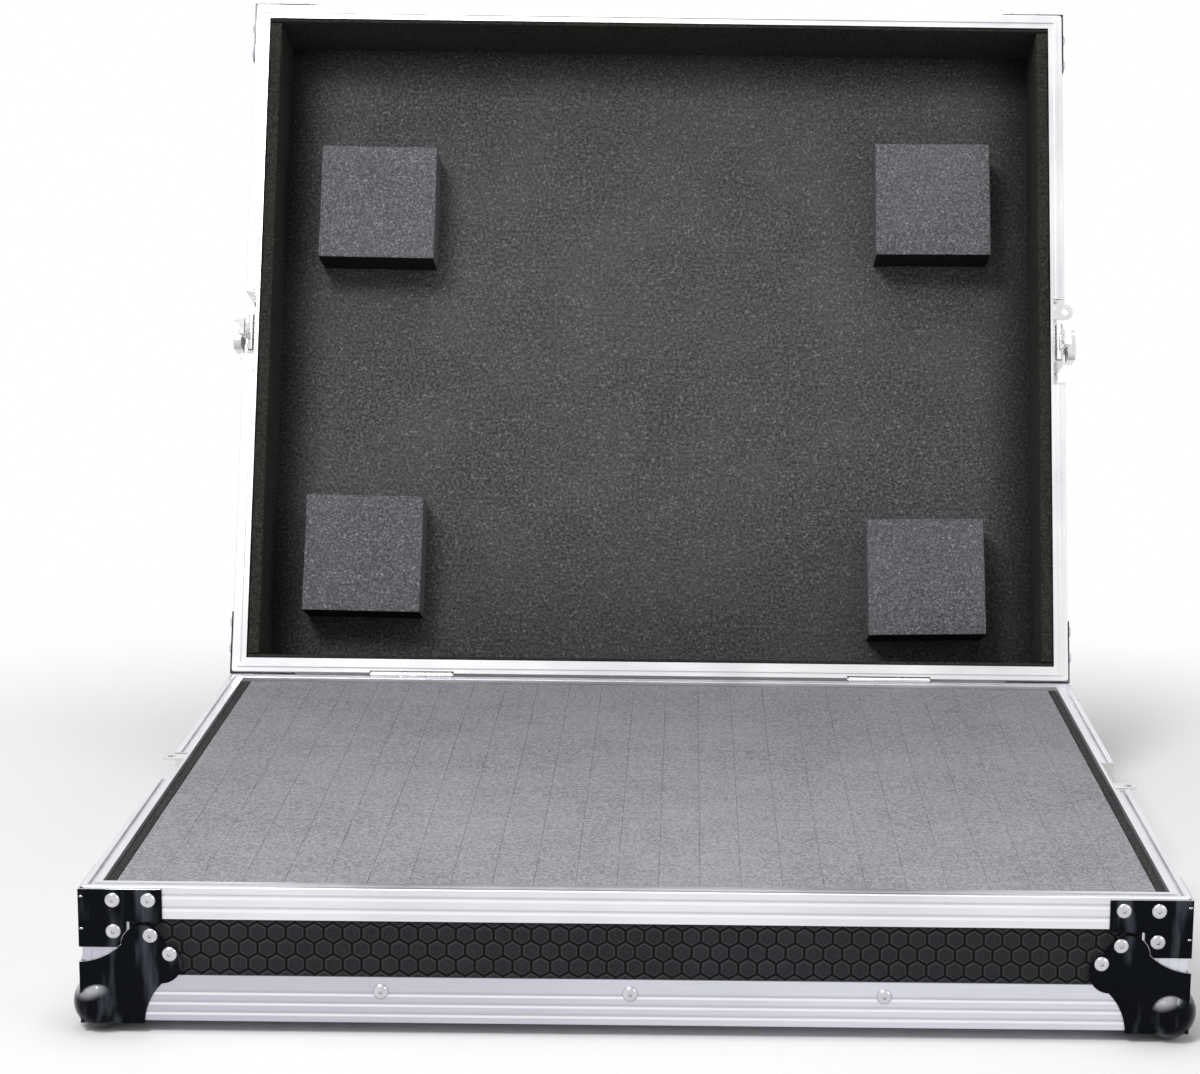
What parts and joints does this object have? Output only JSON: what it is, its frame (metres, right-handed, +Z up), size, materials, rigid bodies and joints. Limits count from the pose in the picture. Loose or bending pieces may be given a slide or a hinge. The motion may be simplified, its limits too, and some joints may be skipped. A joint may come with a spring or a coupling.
{
  "type": "flight case",
  "caption": "Shallow plywood flight case with aluminium extrusions, ball corners, recessed twist latches and a foam-lined hinged lid, standing open.",
  "frame": {"origin": "centre of the floor board's underside", "axes": "+X along the front to the right, +Y to the hinged rear, +Z up out of the base"},
  "size_m": [0.692, 0.8405, 0.6171],
  "materials": {
    "laminate_board": "birch plywood with a dark phenolic laminate pressed in a honeycomb pattern",
    "anodised_aluminium": "silver anodised extrusion",
    "chromed_steel": "black chromed pressed steel",
    "zinc_steel": "bright zinc plated pressed steel",
    "pluck_foam": "grey perforated open-cell foam",
    "dark_foam": "dark charcoal closed-cell foam",
    "black_rubber": "black moulded grip"
  },
  "bodies": {
    "base": {"base_ball_corners": "chromed_steel", "base_bottom_edgings": "anodised_aluminium", "base_braces": "chromed_steel", "base_corner_edgings": "anodised_aluminium", "base_floor_panel": "laminate_board", "base_lining": "dark_foam", "base_rim_front": "anodised_aluminium", "base_rim_left": "anodised_aluminium", "base_rim_rear": "anodised_aluminium", "base_rim_right": "anodised_aluminium", "base_wall_front": "laminate_board", "base_wall_left": "laminate_board", "base_wall_rear": "laminate_board", "base_wall_right": "laminate_board", "catch_dish_left": "zinc_steel", "catch_dish_right": "zinc_steel", "catch_left": "zinc_steel", "catch_right": "zinc_steel", "floor_foam": "dark_foam", "hinge_lower_leaves": "zinc_steel", "hinge_pins": "zinc_steel", "pluck_foam": "pluck_foam"},
    "lid": {"foam_blocks": "dark_foam", "handle_brackets": "zinc_steel", "hinge_upper_leaves": "zinc_steel", "latch_dish_left": "zinc_steel", "latch_dish_right": "zinc_steel", "latch_frame_left": "zinc_steel", "latch_frame_right": "zinc_steel", "lid_back_foam": "dark_foam", "lid_ball_corners": "chromed_steel", "lid_braces": "chromed_steel", "lid_corner_edgings": "anodised_aluminium", "lid_lining": "dark_foam", "lid_rim_front": "anodised_aluminium", "lid_rim_left": "anodised_aluminium", "lid_rim_rear": "anodised_aluminium", "lid_rim_right": "anodised_aluminium", "lid_top_edgings": "anodised_aluminium", "lid_top_panel": "laminate_board", "lid_wall_front": "laminate_board", "lid_wall_left": "laminate_board", "lid_wall_rear": "laminate_board", "lid_wall_right": "laminate_board"},
    "handle": {"handle_bail": "zinc_steel", "handle_grip": "black_rubber"},
    "hub_right": {"latch_hub_right": "zinc_steel"},
    "wing_right": {"latch_wing_right": "zinc_steel"},
    "draw_plate_right": {"latch_draw_plate_right": "zinc_steel"},
    "hook_right": {"latch_hook_right": "zinc_steel"},
    "hub_left": {"latch_hub_left": "zinc_steel"},
    "wing_left": {"latch_wing_left": "zinc_steel"},
    "draw_plate_left": {"latch_draw_plate_left": "zinc_steel"},
    "hook_left": {"latch_hook_left": "zinc_steel"}
  },
  "joints": [
    {"name": "lid_hinge", "type": "hinge", "parent": "base", "child": "lid", "pos_m": [0, 0.279, 0.0832], "axis": [1, 0, 0], "range_deg": [0, 109.5]},
    {"name": "latch_turn_right", "type": "hinge", "parent": "lid", "child": "hub_right", "pos_m": [0.3335, 0.39777, 0.33712], "axis": [1, 0, 0], "range_deg": [0, 180]},
    {"name": "wing_fold_right", "type": "hinge", "parent": "hub_right", "child": "wing_right", "pos_m": [0.3385, 0.39777, 0.33712], "axis": [0, 0.3338, 0.9426], "range_deg": [0, 90]},
    {"name": "draw_slide_right", "type": "slide", "parent": "lid", "child": "draw_plate_right", "axis": [0, 0.9426, -0.3338], "range_m": [0, 0.008]},
    {"name": "hook_swing_right", "type": "hinge", "parent": "draw_plate_right", "child": "hook_right", "pos_m": [0.3285, 0.37326, 0.3458], "axis": [0, -0.3338, -0.9426], "range_deg": [0, 12]},
    {"name": "latch_turn_left", "type": "hinge", "parent": "lid", "child": "hub_left", "pos_m": [-0.3335, 0.39777, 0.33712], "axis": [-1, 0, 0], "range_deg": [0, 180]},
    {"name": "wing_fold_left", "type": "hinge", "parent": "hub_left", "child": "wing_left", "pos_m": [-0.3385, 0.39777, 0.33712], "axis": [0, -0.3338, -0.9426], "range_deg": [0, 90]},
    {"name": "draw_slide_left", "type": "slide", "parent": "lid", "child": "draw_plate_left", "axis": [0, 0.9426, -0.3338], "range_m": [0, 0.008]},
    {"name": "hook_swing_left", "type": "hinge", "parent": "draw_plate_left", "child": "hook_left", "pos_m": [-0.3285, 0.37326, 0.3458], "axis": [0, 0.3338, 0.9426], "range_deg": [0, 12]},
    {"name": "handle_swing", "type": "hinge", "parent": "lid", "child": "handle", "pos_m": [0, 0.51132, 0.60084], "axis": [1, 0, 0], "range_deg": [0, 180]}
  ],
  "couplings": [
    {"joint": "draw_slide_right", "follows": "latch_turn_right", "m_per_rad": 0.0025465},
    {"joint": "hook_swing_right", "follows": "latch_turn_right", "ratio": 0.066667},
    {"joint": "draw_slide_left", "follows": "latch_turn_left", "m_per_rad": 0.0025465},
    {"joint": "hook_swing_left", "follows": "latch_turn_left", "ratio": 0.066667}
  ]
}
